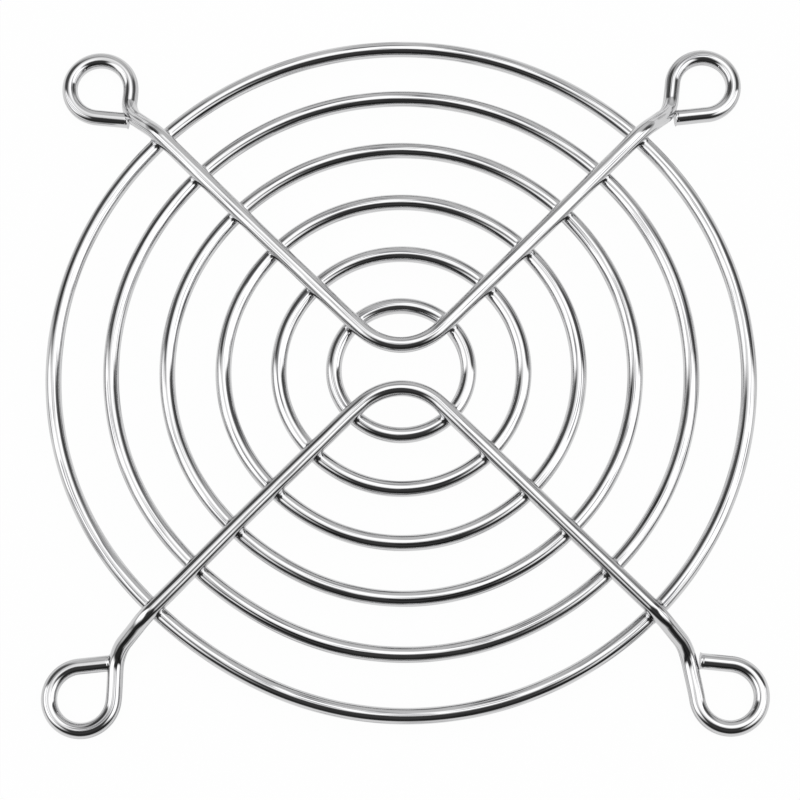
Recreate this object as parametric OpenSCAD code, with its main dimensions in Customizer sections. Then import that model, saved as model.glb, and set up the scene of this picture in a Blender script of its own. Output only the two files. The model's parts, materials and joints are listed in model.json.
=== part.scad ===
// Wire fan guard. Six round wire rings carry two V-shaped support wires welded
// across them. Each support wire leaves the rings at both ends, steps down to the
// fan's face and closes into an open teardrop eye for a screw. Both support wires
// are one bend table, and the second is the first turned half round.
// The origin is the middle of the face that the guard is screwed to, and +Z
// points away from the fan.

/* [Screw pattern] */
// Distance between neighbouring screw centres
hole_spacing = 71.5; // [71:0.25:72]
// Clear width of each screw eye
eye_bore = 5.4; // [5:0.2:5.8]

/* [Wire] */
// Diameter of the round wire, the same for rings and support wires
wire_d = 1.75; // [1.6:0.05:1.8]
// How far a support wire sinks into a ring at each resistance weld
weld_depth = 0.15; // [0.1:0.05:0.2]

/* [Rings] */
// Outside diameter of the largest ring
outer_ring_d = 79.7; // [79:0.1:80.2]
// Diameter of the smallest ring at the middle of its wire
inner_ring_d = 15.2; // [15:0.1:17]

/* [Support wires] */
// Bend radius of the V at the middle of its wire
apex_bend_r = 6.1; // [5:0.1:6.1]
// Height that a support wire drops from the rings' level to the screw eyes
joggle_drop = 4.2; // [3.6:0.1:4.6]
// Distance from the largest ring to the corner where the wire turns down
joggle_start = 1.5; // [1.5:0.05:1.7]
// Radius of the bend that turns the wire down
joggle_bend_r = 2.2; // [1.8:0.1:2.2]
// Radius of the compound bend that levels the wire and turns it to the eye
elbow_bend_r = 3.6; // [3:0.1:3.8]
// Angle between a straight run into an eye and the guard's straight edge
eye_lean = 7; // [5:0.5:9]
// Angle between an eye's free end and the guard's straight edge
tail_lean = 6; // [4:0.5:8]
// Gap left between an eye's sheared end and the wire beside it
tail_gap = 0.1; // [0.1:0.05:0.3]

/* [Hidden] */
ring_count = 6;
leg_angle = 45;
wire_r = wire_d / 2;
// The wire is a hair thicker in its bends, and a straight run reaches into them
bend_swell = 0.01;
bend_lap = 0.15;
section_facets = 20;
arc_facets = 48;

// Rings
largest_ring_r = outer_ring_d / 2 - wire_r;
smallest_ring_r = inner_ring_d / 2;
ring_pitch = (largest_ring_r - smallest_ring_r) / (ring_count - 1);
ring_facets = 24;
ring_facets_per_mm = 1.5;

// Heights of the wires' middles over the mounting face
eye_z = wire_r + bend_swell;
support_z = eye_z + joggle_drop;
ring_z = support_z - wire_d + weld_depth;

// Plan directions of the run into the eye and of its free end, from +X
run_angle = 90 - eye_lean;
tail_angle = 180 + tail_lean;
eye_wire_r = eye_bore / 2 + wire_r + bend_swell;
eye_turn = 360 - tail_angle + run_angle;

// The straight run meets the diagonal of the leg at the elbow's corner
run_start_x = hole_spacing / 2 - eye_wire_r * sin(run_angle);
run_start_y = hole_spacing / 2 + eye_wire_r * cos(run_angle);
run_to_corner = (run_start_y - run_start_x) / (sin(run_angle) - cos(run_angle));
elbow_corner_r = (run_start_x - run_to_corner * cos(run_angle)) / cos(leg_angle);

// Joggle, seen along the leg
joggle_corner_r = largest_ring_r + joggle_start;
joggle_reach = elbow_corner_r - joggle_corner_r;
joggle_angle = atan2(joggle_drop, joggle_reach);
joggle_tangent = joggle_bend_r * tan(joggle_angle / 2);

// The elbow bends in both views at once
elbow_plan_turn = run_angle - leg_angle;
elbow_turn = acos(cos(joggle_angle) * cos(elbow_plan_turn));
elbow_tangent = elbow_bend_r * tan(elbow_turn / 2);
roll_into_elbow = atan2(sin(elbow_plan_turn), -sin(joggle_angle) * cos(elbow_plan_turn));
roll_into_eye = atan2(sin(joggle_angle), -cos(joggle_angle) * sin(elbow_plan_turn));

// Straight lengths between the bends
leg_run = joggle_corner_r - joggle_tangent - apex_bend_r;
slope_run = norm([joggle_reach, joggle_drop]) - joggle_tangent - elbow_tangent;
eye_run = run_to_corner - elbow_tangent;
tail_to_run = tail_angle - run_angle;
tail_room = eye_wire_r * (1 - cos(tail_to_run)) - wire_r - tail_gap;
tail_run = (tail_room + wire_r * cos(tail_to_run)) / sin(tail_to_run);

// One leg of a support wire, from the V's bend outwards: each row feeds the wire
// straight on, rolls it about itself and bends it
feed = 0;
roll = 1;
bend_r = 2;
bend_angle = 3;
leg_bends = [
    [leg_run, -90, joggle_bend_r, joggle_angle],
    [slope_run, roll_into_elbow, elbow_bend_r, elbow_turn],
    [eye_run, roll_into_eye, eye_wire_r, eye_turn],
];

// Round cross-section of the wire
module wire_section(radius) {
    circle(r = radius, $fn = section_facets);
}

// Bend that starts at the origin along +Z and turns towards +X
module wire_bend(radius, angle) {
    translate([radius, 0, 0])
        rotate([90, 0, 180])
            rotate_extrude(angle = angle, $fn = arc_facets)
                translate([radius, 0])
                    wire_section(wire_r + bend_swell);
}

// Straight run along +Z, with a bend at its start and perhaps at its end
module wire_run(length, end_lap) {
    translate([0, 0, -bend_lap])
        cylinder(d = wire_d, h = bend_lap + length + end_lap, $fn = section_facets);
}

// Moves what follows to the far end of a bend
module after_bend(radius, angle) {
    translate([radius, 0, 0])
        rotate([0, angle, 0])
            translate([-radius, 0, 0])
                children();
}

// Wire that starts at the origin along +Z, follows a bend table row by row and
// ends in a straight tail
module bent_wire(table, tail, row = 0) {
    if (row == len(table))
        wire_run(tail, 0);
    else {
        step = table[row];
        wire_run(step[feed], bend_lap);
        translate([0, 0, step[feed]])
            rotate([0, 0, step[roll]]) {
                wire_bend(step[bend_r], step[bend_angle]);
                after_bend(step[bend_r], step[bend_angle])
                    bent_wire(table, tail, row + 1);
            }
    }
}

// Turns a wire's own +Z into the plan's +X, with its own +X to the left
module lay_flat() {
    rotate([90, 0, 90])
        children();
}

// Support wire: the bend of the V, and a leg with its eye on each side
module support_wire() {
    rotate([0, 0, -leg_angle])
        translate([-apex_bend_r, 0, support_z])
            lay_flat()
                wire_bend(apex_bend_r, 2 * leg_angle);
    for (side = [0, 1])
        mirror([side, 0, 0])
            rotate([0, 0, leg_angle])
                translate([apex_bend_r, 0, support_z])
                    lay_flat()
                        bent_wire(leg_bends, tail_run);
}

module upper_support_wire() {
    color("silver")
        support_wire();
}

module lower_support_wire() {
    color("silver")
        rotate([0, 0, 180])
            support_wire();
}

// Room that the legs of both support wires take up where they cross the rings
module leg_seats() {
    for (diagonal = [leg_angle, -leg_angle])
        rotate([0, 0, diagonal])
            translate([0, 0, support_z])
                rotate([0, 90, 0])
                    cylinder(d = wire_d, h = 2 * joggle_corner_r, center = true, $fn = section_facets);
}

// Ring of closed wire, seated on the underside of the support wires
module ring(number) {
    radius = smallest_ring_r + (number - 1) * ring_pitch;
    color("gainsboro")
        difference() {
            translate([0, 0, ring_z])
                rotate_extrude($fn = ring_facets + ceil(radius * ring_facets_per_mm))
                    translate([radius, 0])
                        wire_section(wire_r);
            leg_seats();
        }
}

upper_support_wire();
lower_support_wire();
ring(1);  // ring_1
ring(2);  // ring_2
ring(3);  // ring_3
ring(4);  // ring_4
ring(5);  // ring_5
ring(6);  // ring_6
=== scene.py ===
"""Wire fan guard: the looks of six chromed rings and two bent support wires.

The CAD model gives the sizes. Each of its wires is drawn again here with a finer
surface, weld fillets where wires cross and sheared ends, then plated in chrome.
The guard lies on a white floor in a light tent that is open at the front.
"""

import json
import math

import bpy
import numpy as np
from mathutils import Matrix, Vector
from mathutils.kdtree import KDTree


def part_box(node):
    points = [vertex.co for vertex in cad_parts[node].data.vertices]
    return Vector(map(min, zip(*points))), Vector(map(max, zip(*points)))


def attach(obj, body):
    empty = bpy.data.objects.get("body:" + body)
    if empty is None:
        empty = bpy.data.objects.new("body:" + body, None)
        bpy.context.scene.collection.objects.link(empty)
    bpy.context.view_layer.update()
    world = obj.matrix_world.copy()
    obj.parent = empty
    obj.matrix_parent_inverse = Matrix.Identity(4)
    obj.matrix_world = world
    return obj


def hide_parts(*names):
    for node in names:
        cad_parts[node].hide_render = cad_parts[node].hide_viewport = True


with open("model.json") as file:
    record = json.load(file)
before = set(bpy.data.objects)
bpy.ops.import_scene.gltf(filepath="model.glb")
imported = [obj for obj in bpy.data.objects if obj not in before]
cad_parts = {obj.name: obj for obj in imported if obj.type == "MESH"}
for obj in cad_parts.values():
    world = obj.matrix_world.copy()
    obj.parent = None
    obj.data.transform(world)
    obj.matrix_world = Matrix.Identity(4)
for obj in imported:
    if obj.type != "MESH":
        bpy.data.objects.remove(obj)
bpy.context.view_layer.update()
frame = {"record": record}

# ---------------------------------------------------------------- sizes, in mm
MM = 0.001
RING_NAMES = [f"ring_{number}" for number in range(1, 7)]


def box_mm(node):
    """Lowest and highest corner of a CAD node."""
    low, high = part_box(node)
    return np.array(low) / MM, np.array(high) / MM


ring_low, ring_high = box_mm("ring_1")
wire_r = (ring_high[2] - ring_low[2]) / 2
ring_z = (ring_high[2] + ring_low[2]) / 2
ring_radii = [box_mm(name)[1][0] - wire_r for name in RING_NAMES]
support_z = box_mm("upper_support_wire")[1][2] - wire_r

eye = frame["record"]["mounts"][0]
eye_x, eye_y = (abs(value) / MM for value in eye["pos_m"][:2])
eye_wire_r = eye["dims"]["r_mm"] + wire_r
eye_z = wire_r

# Bends of a support wire
LEG_ANGLE = math.radians(45)
APEX_BEND_R = 6.1
JOGGLE_START = 1.5
JOGGLE_BEND_R = 2.2
ELBOW_BEND_R = 3.6
EYE_LEAN = math.radians(7)
TAIL_LEAN = math.radians(6)

# Plating adds to the bare wire, and each cut end runs on into the wire beside it
PLATING = 0.03
UPPER_TAIL_LAP = 0.45
LOWER_TAIL_LAP = 0.15

# The legs' gentle drop: its start beyond the largest ring, how far short of the
# elbow's end it stops, and half of the length of its bends
DROP_START = 0.75
DROP_SHORT = 0.9
DROP_EASE = 1.1

# How far this guard's support wires are off true. In each quarter, given by the signs
# of x and y, the leg drifts sideways and the eye slips in the plan. A drift grows and
# fades between these distances from the middle, and a slip starts before the elbow's end
LEG_DRIFT = {(1, 1): -0.09, (-1, 1): 0.13, (-1, -1): -0.2, (1, -1): 0}
DRIFT_GROWS = 3, 9
DRIFT_FADES = 39, 22
EYE_SLIP = {(1, 1): (-0.06, -0.6), (-1, 1): (0.5, -0.65),
            (-1, -1): (0.25, -0.95), (1, -1): (0.35, -1)}
SLIP_LEAD = 1.2

# How far its rings are off true, from the smallest ring to the largest: growth, shift
# to the back, and an oval and a dent that grow with the ring's number
RING_GROWTH = 0, -0.07, -0.11, -0.06, 0, 0.21
RING_SHIFT = 0, 0, 0.04, 0.07, 0.13, -0.17
RING_OVAL = 0.025
RING_DENT = 0.022
DENT_AT = math.radians(232)
DENT_WIDTH = math.radians(18)

# Weld fillets: size, its spread, how its phase steps from ring to ring and from quarter
# to quarter, how many rounds find its rise, how far a weld reaches, and the swell from
# which its surface is fully dull
FILLET = 0.62
FILLET_SPREAD = 0.18
RING_PHASE = 7.3
QUARTER_PHASE = 2.9
FILLET_ROUNDS = 6
WELD_REACH = 1.9
DULL_SWELL = FILLET / 5

# Rolled upper edge, burr and slant of a sheared end
SHEAR_LENGTH = 0.45
SHEAR_ROLL = 0.12
SHEAR_BURR = 0.1
SHEAR_SLANT = math.radians(3)

# Facets round a wire, the steps of its mesh and of its finer path, and the curvature
# above which it counts as bent
FACETS = 40
COARSE_STEP = 0.34
BEND_STEP = 0.16
WELD_STEP = 0.07
SHEAR_STEP = WELD_STEP / 2
PATH_STEP = 0.02
BENT = 0.1


# ---------------------------------------------------------------- wire paths
class BentWire:
    """Point that draws a wire's centreline as it is fed, rolled and bent."""

    def __init__(self, start, heading, side):
        self.point = np.array(start, float)
        self.heading = np.array(heading, float)
        self.side = np.array(side, float)
        self.points = [self.point]

    def feed(self, length):
        count = max(2, round(length / PATH_STEP))
        for step in range(1, count + 1):
            self.points.append(self.point + self.heading * length * step / count)
        self.point = self.points[-1]

    def roll(self, angle):
        across = np.cross(self.heading, self.side)
        self.side = self.side * math.cos(angle) + across * math.sin(angle)

    def bend(self, radius, angle):
        start, heading, side = self.point, self.heading, self.side
        count = max(4, round(radius * angle / PATH_STEP))
        for turn in np.linspace(0, angle, count + 1)[1:]:
            ahead = heading * math.sin(turn)
            aside = side * (1 - math.cos(turn))
            self.points.append(start + radius * (ahead + aside))
        self.point = self.points[-1]
        self.heading = heading * math.cos(angle) + side * math.sin(angle)
        self.side = side * math.cos(angle) - heading * math.sin(angle)


def smooth(value, low, high):
    """0 at low, 1 at high and smooth between them. low may be the larger."""
    share = np.clip((value - low) / (high - low), 0, 1)
    return share * share * (3 - 2 * share)


def leg_path(tail_lap):
    """Centreline from the middle of the V to the sheared end of one eye.

    With it comes each point's share of the eye's slip: 0 up to the elbow, 1 in the eye.
    """
    run_angle = math.radians(90) - EYE_LEAN
    tail_angle = math.radians(180) + TAIL_LEAN
    run_x = eye_x - eye_wire_r * math.sin(run_angle)
    run_y = eye_y + eye_wire_r * math.cos(run_angle)
    run_to_corner = (run_y - run_x) / (math.sin(run_angle) - math.cos(run_angle))
    elbow_r = (run_x - run_to_corner * math.cos(run_angle)) / math.cos(LEG_ANGLE)

    joggle_r = ring_radii[-1] + JOGGLE_START
    reach, drop = elbow_r - joggle_r, support_z - eye_z
    joggle_angle = math.atan2(drop, reach)
    joggle_tangent = JOGGLE_BEND_R * math.tan(joggle_angle / 2)
    plan_turn = run_angle - LEG_ANGLE
    elbow_turn = math.acos(math.cos(joggle_angle) * math.cos(plan_turn))
    elbow_tangent = ELBOW_BEND_R * math.tan(elbow_turn / 2)
    into_elbow = math.atan2(math.sin(plan_turn),
                            -math.sin(joggle_angle) * math.cos(plan_turn))
    into_eye = math.atan2(math.sin(joggle_angle),
                          -math.cos(joggle_angle) * math.sin(plan_turn))

    tail_to_run = tail_angle - run_angle
    tail_room = eye_wire_r * (1 - math.cos(tail_to_run)) - wire_r + tail_lap
    tail = (tail_room + wire_r * math.cos(tail_to_run)) / math.sin(tail_to_run)

    apex = (0, APEX_BEND_R * (math.sqrt(2) - 1), support_z)
    wire = BentWire(apex, (1, 0, 0), (0, 1, 0))
    wire.bend(APEX_BEND_R, LEG_ANGLE)
    wire.feed(joggle_r - joggle_tangent - APEX_BEND_R)
    wire.roll(-math.pi / 2)
    wire.bend(JOGGLE_BEND_R, joggle_angle)
    wire.feed(math.hypot(reach, drop) - joggle_tangent - elbow_tangent)
    wire.roll(into_elbow)
    wire.bend(ELBOW_BEND_R, elbow_turn)
    run_start = len(wire.points)
    wire.feed(run_to_corner - elbow_tangent)
    wire.roll(into_eye)
    run_end = len(wire.points)
    wire.bend(eye_wire_r, 2 * math.pi - tail_angle + run_angle)
    wire.feed(tail)
    slip_start = run_start - round(SLIP_LEAD / PATH_STEP)
    slip = smooth(np.arange(len(wire.points)), slip_start, run_end)
    drop_end = run_start - round(DROP_SHORT / PATH_STEP)
    return eased_down(np.array(wire.points), drop_end), slip


def eased_down(path, drop_end):
    """Spreads a leg's drop evenly from just beyond the largest ring into the elbow.

    drop_end is the index of the path's point where the drop stops.
    """
    plan_step = np.hypot(*np.diff(path[:, :2], axis=0).T)
    fed = np.concatenate([[0], np.cumsum(plan_step)])
    out = np.hypot(path[:, 0], path[:, 1])
    start = np.argmax(out > ring_radii[-1] + DROP_START)
    fall = np.clip((fed - fed[start]) / (fed[drop_end] - fed[start]), 0, 1)
    ease = round(DROP_EASE / PATH_STEP)
    padded = np.pad(fall, ease, mode="edge")
    fall = np.convolve(padded, np.full(2 * ease + 1, 1 / (2 * ease + 1)), mode="valid")
    eased = path.copy()
    eased[:, 2] = support_z - (support_z - eye_z) * fall
    return eased


def off_true(path, slip):
    """Moves a support wire's centreline sideways along its legs and at its eyes."""
    out = np.hypot(path[:, 0], path[:, 1])
    drift = smooth(out, *DRIFT_GROWS) * smooth(out, *DRIFT_FADES)
    moved = path.copy()
    for (x, y), eye_slip in EYE_SLIP.items():
        here = (path[:, 0] * x > 0) & (path[:, 1] * y > 0)
        sideways = np.array((-y, x)) * math.sqrt(0.5) * LEG_DRIFT[x, y]
        moved[here, :2] += drift[here, None] * sideways + slip[here, None] * eye_slip
    return moved


def support_path(turned):
    """Centreline of a whole support wire, from sheared end to sheared end."""
    leg, slip = leg_path(LOWER_TAIL_LAP if turned else UPPER_TAIL_LAP)
    other_leg = leg[:0:-1] * (-1, 1, 1)
    path = np.vstack([other_leg, leg]) * ((-1, -1, 1) if turned else 1)
    return off_true(path, np.concatenate([slip[:0:-1], slip]))


def ring_reach(index, turn):
    """Radius of a ring's centreline at each plan angle."""
    number = index + 1
    away = (turn - DENT_AT + math.pi) % (2 * math.pi) - math.pi
    dent = RING_DENT * number ** 2 * np.exp(-(away / DENT_WIDTH) ** 2 / 2)
    oval = RING_OVAL * number * np.cos(2 * turn)
    shift = RING_SHIFT[index] * np.sin(turn)
    return ring_radii[index] + RING_GROWTH[index] + shift + oval - dent


def ring_path(index):
    """Centreline of a ring. It starts under a support wire, where its butt joint is."""
    count = round(2 * math.pi * ring_radii[index] / PATH_STEP)
    turn = LEG_ANGLE + np.linspace(0, 2 * math.pi, count, endpoint=False)
    reach = ring_reach(index, turn)
    return np.stack([reach * np.cos(turn), reach * np.sin(turn), np.full(count, ring_z)], 1)


# ---------------------------------------------------------------- welds
SUPPORT_PATHS = {
    "upper_support_wire": support_path(turned=False),
    "lower_support_wire": support_path(turned=True),
}
support_tree = KDTree(sum(len(path) for path in SUPPORT_PATHS.values()))
for index, point in enumerate(np.vstack(list(SUPPORT_PATHS.values()))):
    support_tree.insert(point, index)
support_tree.balance()


def gap_to_supports(points):
    """Distance from each point to the surface of the nearest support wire."""
    return np.array([support_tree.find(point)[2] for point in points]) - wire_r


def gap_to_rings(points):
    """Distance from each point to the surface of the nearest ring."""
    across = np.hypot(points[:, 0], points[:, 1])
    turn = np.arctan2(points[:, 1], points[:, 0])
    gaps = [np.hypot(across - ring_reach(index, turn), points[:, 2] - ring_z)
            for index in range(len(ring_radii))]
    return np.min(gaps, 0) - wire_r


def nearest_crossing(points):
    """Distance in plan from each point to the nearest crossing, and its fillet size."""
    nearest = np.full(len(points), np.inf)
    fillet = np.full(len(points), FILLET)
    for index in range(len(ring_radii)):
        for quarter in range(4):
            turn = LEG_ANGLE + quarter * math.pi / 2
            centre = ring_reach(index, turn) * np.array((math.cos(turn), math.sin(turn)))
            distance = np.hypot(*(points[:, :2] - centre).T)
            closer = distance < nearest
            nearest[closer] = distance[closer]
            spread = FILLET_SPREAD * math.sin(RING_PHASE * index + QUARTER_PHASE * quarter)
            fillet[closer] = FILLET * (1 + spread)
    return nearest, fillet


def weld_swell(points, normals, gap):
    """How far each surface point rises to meet the other wire in a smooth fillet.

    gap gives the distance from points to the other wires' surface.
    """
    nearest, fillet = nearest_crossing(points)
    near = np.flatnonzero(nearest < WELD_REACH + wire_r)
    swell = np.zeros(len(points))
    rise = np.zeros(len(near))
    for _ in range(FILLET_ROUNDS):
        raised = points[near] + normals[near] * rise[:, None]
        overlap = np.clip(1 - np.abs(rise - gap(raised)) / fillet[near], 0, 1)
        rise = (rise + fillet[near] / 4 * overlap ** 2) / 2
    swell[near] = rise
    return swell


# ---------------------------------------------------------------- wire meshes
def stations(path, closed):
    """Indices along a fine path: close together at welds, wider on bends and runs."""
    heading = np.gradient(path, axis=0)
    heading /= np.linalg.norm(heading, axis=1)[:, None]
    curvature = np.linalg.norm(np.gradient(heading, axis=0), axis=1) / PATH_STEP
    nearest, _ = nearest_crossing(path)
    high_up = path[:, 2] > ring_z - wire_r
    step = np.where(curvature > BENT, BEND_STEP, COARSE_STEP)
    step = np.where((nearest < WELD_REACH) & high_up, WELD_STEP, step)
    if not closed:
        place = np.arange(len(path))
        to_end = PATH_STEP * np.minimum(place, place[::-1])
        step = np.where(to_end < 2 * SHEAR_LENGTH, SHEAR_STEP, step)
    count = np.cumsum(PATH_STEP / step)
    chosen = np.unique(np.searchsorted(count, np.arange(count[0], count[-1])))
    if not closed:
        chosen = np.union1d(chosen, [0, len(path) - 1])
    return chosen


def section_axes(path, closed):
    """Heading at each point of a path, and two axes square to it that don't twist."""
    if closed:
        across = path * (1, 1, 0)
        across /= np.linalg.norm(across, axis=1)[:, None]
        up = np.broadcast_to((0.0, 0.0, 1.0), path.shape)
        heading = np.cross(up, across)
        return heading, across, np.cross(heading, across)
    heading = np.gradient(path, axis=0)
    heading /= np.linalg.norm(heading, axis=1)[:, None]
    across = np.empty_like(path)
    axis = np.array((0.0, 0.0, 1.0))
    for index, ahead in enumerate(heading):
        axis = axis - ahead * (axis @ ahead)
        axis /= np.linalg.norm(axis)
        across[index] = axis
    return heading, across, np.cross(heading, across)


def shear_ends(points, normals, heading, length):
    """Rolls, burrs and slants the surface at both sheared ends of a wire, in place."""
    up = normals[:, :, 2]
    for end, outward in ((length, -1), (length[-1] - length, 1)):
        near = np.clip(1 - end / SHEAR_LENGTH, 0, 1)[:, None]
        rolled = -SHEAR_ROLL * near * np.clip(up, 0, 1)
        burred = SHEAR_BURR * near ** 4
        slanted = -outward * near * math.tan(SHEAR_SLANT) * wire_r * (1 + up)
        points += normals * (rolled + burred)[:, :, None]
        points += heading[:, None, :] * slanted[:, :, None]


def grid_faces(rows, closed):
    """Quads between neighbouring sections, facing outwards."""
    row, facet = np.meshgrid(np.arange(rows if closed else rows - 1), np.arange(FACETS),
                             indexing="ij")
    next_row, next_facet = (row + 1) % rows, (facet + 1) % FACETS
    corners = (row, facet), (row, next_facet), (next_row, next_facet), (next_row, facet)
    return np.stack([r * FACETS + f for r, f in corners], -1).reshape(-1, 4).tolist()


def cap_faces(rows):
    """Faces of both sheared ends, facing outwards."""
    last = (rows - 1) * FACETS
    return [list(reversed(range(FACETS))), list(range(last, last + FACETS))]


def sharpen_ends(mesh, rows):
    """Keeps the rims of both sheared ends crisp."""
    last = (rows - 1) * FACETS
    for edge in mesh.edges:
        if max(edge.vertices) < FACETS or min(edge.vertices) >= last:
            edge.use_edge_sharp = True


def add_attribute(mesh, name, kind, values):
    attribute = mesh.attributes.new(name, kind, "POINT")
    field = "vector" if kind == "FLOAT_VECTOR" else "value"
    attribute.data.foreach_set(field, np.ascontiguousarray(values, np.float32).ravel())


def wire_mesh(name, fine_path, closed, gap):
    """Tube along a path, with weld fillets and, on an open wire, sheared ends."""
    chosen = stations(fine_path, closed)
    heading, across, beside = (axes[chosen] for axes in section_axes(fine_path, closed))
    path, length = fine_path[chosen], chosen * PATH_STEP
    turn = np.linspace(0, 2 * math.pi, FACETS, endpoint=False)
    normals = (across[:, None] * np.cos(turn)[None, :, None]
               + beside[:, None] * np.sin(turn)[None, :, None])
    points = path[:, None] + (wire_r + PLATING) * normals
    swell = weld_swell(points.reshape(-1, 3), normals.reshape(-1, 3), gap)
    points = points + normals * swell.reshape(len(path), FACETS, 1)
    grain = np.empty_like(points)
    grain[:, :, 0] = wire_r * np.cos(turn)
    grain[:, :, 1] = wire_r * np.sin(turn)
    grain[:, :, 2] = length[:, None]
    faces = grid_faces(len(path), closed)
    cut = np.zeros(points.shape[:2])
    if not closed:
        shear_ends(points, normals, heading, length)
        cut[[0, -1]] = 1
        faces += cap_faces(len(path))

    mesh = bpy.data.meshes.new(name)
    mesh.from_pydata((points.reshape(-1, 3) * MM).tolist(), [], faces)
    mesh.shade_smooth()
    add_attribute(mesh, "grain", "FLOAT_VECTOR", grain.reshape(-1, 3))
    add_attribute(mesh, "weld", "FLOAT", np.clip(swell / DULL_SWELL, 0, 1))
    add_attribute(mesh, "cut", "FLOAT", cut.ravel())
    if not closed:
        sharpen_ends(mesh, len(path))
    return mesh


# ---------------------------------------------------------------- materials
# Chrome between its darker and lighter patches, and what painted shade streaks (dark
# reflections painted along the wire) and dull places multiply it by
CHROME_DARKER = (0.585, 0.585, 0.59, 1)
CHROME_LIGHTER = (0.635, 0.635, 0.64, 1)
PAINTED_STREAK_SHADE = (0.28, 0.28, 0.29, 1)
DULLED = (0.72, 0.72, 0.73, 1)
SMOOTHEST = 0.035
ROUGHEST = 0.075
DULL_ROUGHNESS = 0.12

# Heights of the orange peel, of the die lines and of the torn metal at a cut or weld
PEEL_HEIGHT = 0.009
LINE_HEIGHT = 0.005
TORN_HEIGHT = 0.02

# Share of the floor's look that is plain white, and the rest's paper colour
FLOOR_WHITE = 0.975
PAPER = (0.9, 0.9, 0.9, 1)
WHITE = (1, 1, 1, 1)

# Sockets of a Mix node set to colours: factor and both colours, and the result
COLOUR_MIX_INPUTS = 0, 6, 7
COLOUR_MIX_OUTPUT = 2


def new_material(name):
    material = bpy.data.materials.new(name)
    material.use_nodes = True
    material.node_tree.nodes.clear()
    return material, material.node_tree


def feed_socket(tree, socket, term):
    """Links another node's output into a socket, or sets the socket to a value."""
    if isinstance(term, bpy.types.NodeSocket):
        tree.links.new(term, socket)
    else:
        socket.default_value = term


def add_node(tree, kind, *terms, **settings):
    """New node of a kind. Values and other nodes' outputs may be given for its inputs.

    Its inputs take the terms in order. A setting goes by its name to an attribute, or else
    to an input.
    """
    node = tree.nodes.new(kind)
    for key, value in settings.items():
        if hasattr(node, key):
            setattr(node, key, value)
        else:
            feed_socket(tree, node.inputs[key.replace("_", " ")], value)
    for socket, term in zip(node.inputs, terms):
        feed_socket(tree, socket, term)
    return node


def attribute_value(tree, name, output="Fac"):
    return add_node(tree, "ShaderNodeAttribute", attribute_name=name).outputs[output]


def mix_colours(tree, factor, first, second, blend_type="MIX"):
    """Output of a Mix node, whose colour sockets come after those for other kinds of value."""
    node = add_node(tree, "ShaderNodeMix", data_type="RGBA", blend_type=blend_type)
    for index, term in zip(COLOUR_MIX_INPUTS, (factor, first, second)):
        feed_socket(tree, node.inputs[index], term)
    return node.outputs[COLOUR_MIX_OUTPUT]


def stretched_noise(tree, along, scale, detail):
    """Noise on the wire's own coordinates, drawn out along its length."""
    grain = attribute_value(tree, "grain", "Vector")
    stretch = add_node(tree, "ShaderNodeVectorMath", grain, (1, 1, along), operation="MULTIPLY")
    return add_node(tree, "ShaderNodeTexNoise", Vector=stretch.outputs[0],
                    Scale=scale, Detail=detail).outputs["Fac"]


def bumped(tree, height, distance, **inputs):
    """Normal of a surface with a bump of so many millimetres."""
    return add_node(tree, "ShaderNodeBump", Height=height, Distance=distance * MM,
                    **inputs).outputs["Normal"]


def chrome_material():
    """Bright plating over drawn wire: die lines, painted dark reflection streaks, a slight
    orange peel, duller welds.
    """
    material, tree = new_material("bright_chrome")
    peel = stretched_noise(tree, along=0.35, scale=0.9, detail=2)
    lines = stretched_noise(tree, along=0.02, scale=9, detail=3)
    torn = stretched_noise(tree, along=1, scale=7, detail=4)
    # Painted shade: thin dark streaks along the wire that stand in for dark lines reflected in
    # the highlights
    streak_noise = stretched_noise(tree, along=0.012, scale=10, detail=1)
    dull = add_node(tree, "ShaderNodeMath", attribute_value(tree, "weld"),
                    attribute_value(tree, "cut"), operation="MAXIMUM").outputs[0]

    rough = add_node(tree, "ShaderNodeMapRange", Value=lines, From_Min=0.3, From_Max=0.7,
                     To_Min=SMOOTHEST, To_Max=ROUGHEST)
    rougher = add_node(tree, "ShaderNodeMath", dull, DULL_ROUGHNESS, rough.outputs["Result"],
                       operation="MULTIPLY_ADD")

    painted_streaks = add_node(tree, "ShaderNodeMapRange", Value=streak_noise, From_Min=0.42, From_Max=0.36)
    chrome = mix_colours(tree, peel, CHROME_DARKER, CHROME_LIGHTER)
    # The chrome colour is darkened in these painted reflection streaks
    chrome = mix_colours(tree, painted_streaks.outputs["Result"], chrome, PAINTED_STREAK_SHADE, "MULTIPLY")
    chrome = mix_colours(tree, dull, chrome, DULLED, "MULTIPLY")

    normal = bumped(tree, peel, PEEL_HEIGHT, Strength=1)
    normal = bumped(tree, lines, LINE_HEIGHT, Strength=1, Normal=normal)
    normal = bumped(tree, torn, TORN_HEIGHT, Strength=dull, Normal=normal)

    shader = add_node(tree, "ShaderNodeBsdfPrincipled", Metallic=1, Base_Color=chrome,
                      Roughness=rougher.outputs[0], Normal=normal)
    add_node(tree, "ShaderNodeOutputMaterial", Surface=shader.outputs[0])
    return material


def floor_material():
    """Matt white that the camera and the metal see as the white background."""
    material, tree = new_material("white_floor")
    rays = add_node(tree, "ShaderNodeLightPath").outputs
    seen = add_node(tree, "ShaderNodeMath", rays["Is Camera Ray"], rays["Is Glossy Ray"],
                    operation="MAXIMUM")
    seen = add_node(tree, "ShaderNodeMath", seen.outputs[0], rays["Is Transmission Ray"],
                    operation="MAXIMUM")
    share = add_node(tree, "ShaderNodeMath", seen.outputs[0], FLOOR_WHITE, operation="MULTIPLY")
    paper = add_node(tree, "ShaderNodeBsdfDiffuse", Color=PAPER)
    white = add_node(tree, "ShaderNodeEmission", Color=WHITE, Strength=1)
    mix = add_node(tree, "ShaderNodeMixShader", share.outputs[0], paper.outputs[0],
                   white.outputs[0])
    add_node(tree, "ShaderNodeOutputMaterial", Surface=mix.outputs[0])
    return material


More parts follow.
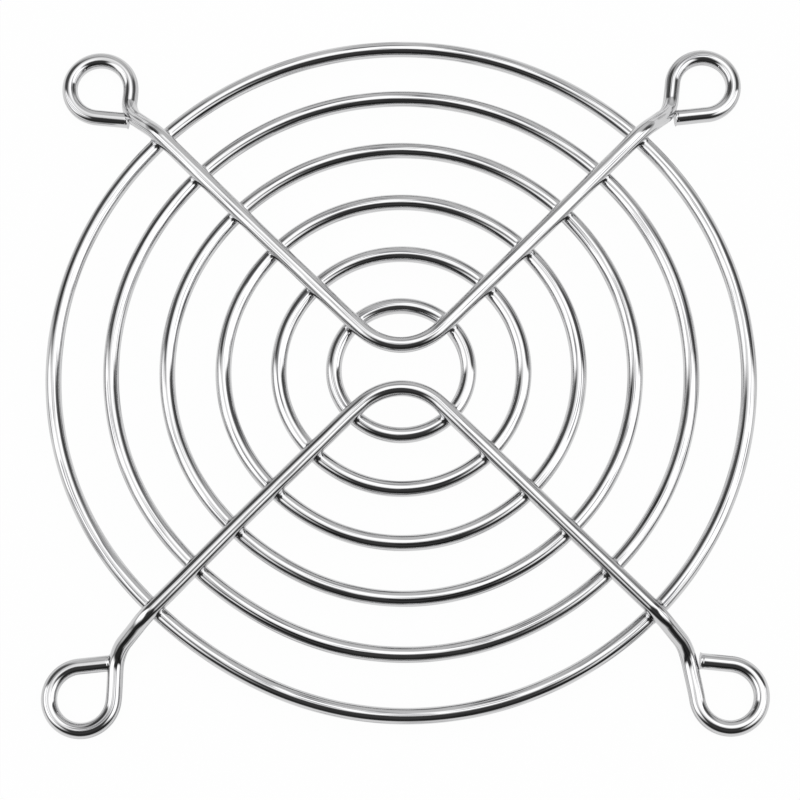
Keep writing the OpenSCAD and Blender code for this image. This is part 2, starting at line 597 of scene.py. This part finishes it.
def tent_material():
    """Cloth of the light tent, which glows as brightly as the light behind it."""
    material, tree = new_material("light_tent")
    glow = add_node(tree, "ShaderNodeEmission", Strength=attribute_value(tree, "level"))
    add_node(tree, "ShaderNodeOutputMaterial", Surface=glow.outputs[0])
    return material


# ---------------------------------------------------------------- light tent
TENT_R = 900.0
TENT_ROWS = 96
TENT_COLUMNS = 240
TENT_REACH = 94.0

# Brightness of the tent's parts, where 1 is white
WALL = 0.66
BACK_WALL = 0.76
SIDE_BOX = 1.8
TOP_BOX = 1.75
TOP_BOX_LEFT = 1.05
OPEN_FRONT = 0.06
DARK_CORNER = 0.1

# Dark corners: degrees to the right and to the back, and the radii between which each fades
CORNERS = ((-43, 36, 15, 36), (53, 29, 10, 31))

# Edges of the other parts, in degrees from overhead. Each fades in from its first angle
# to its second one, to the right, to the back or, where it says rim, in any direction
BACK_WALL_EDGE = 34, 48
BACK_WALL_RIM = 84, 66
OPEN_FRONT_EDGE = -2, -17
OPEN_FRONT_RIM = 92, 76
OPEN_FRONT_DARKER_RIM = 46, 60
TOP_BOX_EDGE = -15, 3
TOP_BOX_RIM = 42, 25
TOP_BOX_BRIGHTER = -16, 2
SIDE_BOX_FRONT = -46, -20
SIDE_BOX_RIM = 84, 66
LEFT_BOX_EDGE = -20, -33
RIGHT_BOX_EDGE = 19, 30
RIGHT_BOX_BACK = 19, 15
RIGHT_FLAP_EDGE = 8, 20
RIGHT_FLAP_FRONT = -11, 1

# The top box's edge steps back by so much on the right
TOP_BOX_STEP = 4
TOP_BOX_STEP_EDGE = -4, 6

# The left box's back edge leans: its place at 0 degrees to the right, its slope, and how
# far it fades to either side
LEFT_BOX_BACK = 7
LEFT_BOX_LEAN = -0.24
LEFT_BOX_SOFT = 4


def blend(level, other, share):
    return level + (other - level) * share


def tent_levels(right, back):
    """Brightness of the tent in each direction, given in degrees from overhead."""
    zenith = np.hypot(right, back)
    levels = blend(WALL, BACK_WALL,
                   smooth(back, *BACK_WALL_EDGE) * smooth(zenith, *BACK_WALL_RIM))
    for corner_right, corner_back, inner, outer in CORNERS:
        distance = np.hypot(right - corner_right, back - corner_back)
        levels = blend(levels, DARK_CORNER, smooth(distance, outer, inner))

    front_level = blend(OPEN_FRONT, OPEN_FRONT / 2, smooth(zenith, *OPEN_FRONT_DARKER_RIM))
    front = smooth(back, *OPEN_FRONT_EDGE) * smooth(zenith, *OPEN_FRONT_RIM)
    levels = blend(levels, front_level, front)

    top_level = blend(TOP_BOX_LEFT, TOP_BOX, smooth(right, *TOP_BOX_BRIGHTER))
    behind_step = back - TOP_BOX_STEP * smooth(right, *TOP_BOX_STEP_EDGE)
    top = smooth(behind_step, *TOP_BOX_EDGE) * smooth(zenith, *TOP_BOX_RIM)
    levels = blend(levels, top_level, top)

    side = smooth(back, *SIDE_BOX_FRONT) * smooth(zenith, *SIDE_BOX_RIM)
    past_lean = back - LEFT_BOX_BACK - LEFT_BOX_LEAN * right
    left = smooth(right, *LEFT_BOX_EDGE) * smooth(past_lean, LEFT_BOX_SOFT, -LEFT_BOX_SOFT)
    levels = blend(levels, SIDE_BOX, left * side)
    flap = smooth(right, *RIGHT_FLAP_EDGE) * smooth(back, *RIGHT_FLAP_FRONT)
    right_box = np.maximum(smooth(right, *RIGHT_BOX_EDGE), flap)
    return blend(levels, SIDE_BOX, right_box * smooth(back, *RIGHT_BOX_BACK) * side)


def make_tent():
    """Dome over the guard. It lights and is reflected, but the camera looks through it."""
    zenith, azimuth = np.meshgrid(TENT_REACH * np.arange(TENT_ROWS + 1) / TENT_ROWS,
                                  360 * np.arange(TENT_COLUMNS) / TENT_COLUMNS, indexing="ij")
    to_right, to_back = np.cos(np.radians(azimuth)), np.sin(np.radians(azimuth))
    out, up = np.sin(np.radians(zenith)), np.cos(np.radians(zenith))
    points = TENT_R * MM * np.stack([out * to_right, out * to_back, up], -1)
    faces = []
    for row in range(TENT_ROWS):
        for column in range(TENT_COLUMNS):
            beside = (column + 1) % TENT_COLUMNS
            first, second = row * TENT_COLUMNS, (row + 1) * TENT_COLUMNS
            faces.append((first + column, second + column, second + beside, first + beside))
    mesh = bpy.data.meshes.new("light_tent")
    mesh.from_pydata(points.reshape(-1, 3).tolist(), [], faces)
    add_attribute(mesh, "level", "FLOAT", tent_levels(zenith * to_right, zenith * to_back))
    tent = bpy.data.objects.new("light_tent", mesh)
    bpy.context.scene.collection.objects.link(tent)
    mesh.materials.append(tent_material())
    tent.visible_camera = False
    tent.visible_shadow = False


def make_floor():
    bpy.ops.mesh.primitive_plane_add(size=2 * TENT_R * MM, location=(0, 0, 0))
    floor = bpy.context.object
    floor.name = "floor"
    floor.data.materials.append(floor_material())


def make_world():
    world = bpy.data.worlds.new("white_room")
    world.use_nodes = True
    background = world.node_tree.nodes["Background"]
    background.inputs["Color"].default_value = WHITE
    background.inputs["Strength"].default_value = 1
    bpy.context.scene.world = world


# ---------------------------------------------------------------- camera
CAMERA_DISTANCE = 276.4
CAMERA_TILT = math.radians(14.32)
CAMERA_ROLL = math.radians(-0.08)
CAMERA_TURN = math.radians(-0.18)
CAMERA_AIM = (-0.14, -3.48)
CAMERA_LENS = 110.25
SENSOR = 36.0


def make_camera():
    """Camera nearly overhead, a little towards the front, that looks down on the guard."""
    camera = bpy.data.objects.new("camera", bpy.data.cameras.new("camera"))
    bpy.context.scene.collection.objects.link(camera)
    camera.data.lens = CAMERA_LENS
    camera.data.sensor_width = SENSOR
    camera.data.clip_start = 0.01
    camera.data.clip_end = 10
    aim_at = Vector((*CAMERA_AIM, ring_z)) * MM
    aim = Matrix.Rotation(CAMERA_TURN, 4, "Z") @ Matrix.Translation(aim_at)
    lean = Matrix.Rotation(CAMERA_TILT, 4, "X")
    back = Matrix.Translation((0, 0, CAMERA_DISTANCE * MM))
    roll = Matrix.Rotation(CAMERA_ROLL, 4, "Z")
    camera.matrix_world = aim @ lean @ back @ roll
    bpy.context.scene.camera = camera


# ---------------------------------------------------------------- the guard
def place_wire(name, mesh, material):
    """Shows a finished wire in the place of its CAD node."""
    wire = bpy.data.objects.new(f"{name}_wire", mesh)
    bpy.context.scene.collection.objects.link(wire)
    mesh.materials.append(material)
    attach(wire, "root")
    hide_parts(name)


def make_guard():
    chrome = chrome_material()
    for name, path in SUPPORT_PATHS.items():
        mesh = wire_mesh(name, path, closed=False, gap=gap_to_rings)
        place_wire(name, mesh, chrome)
    for index, name in enumerate(RING_NAMES):
        mesh = wire_mesh(name, ring_path(index), closed=True, gap=gap_to_supports)
        place_wire(name, mesh, chrome)


bpy.context.scene.view_settings.view_transform = "Standard"
make_camera()
make_world()
make_floor()
make_tent()
make_guard()
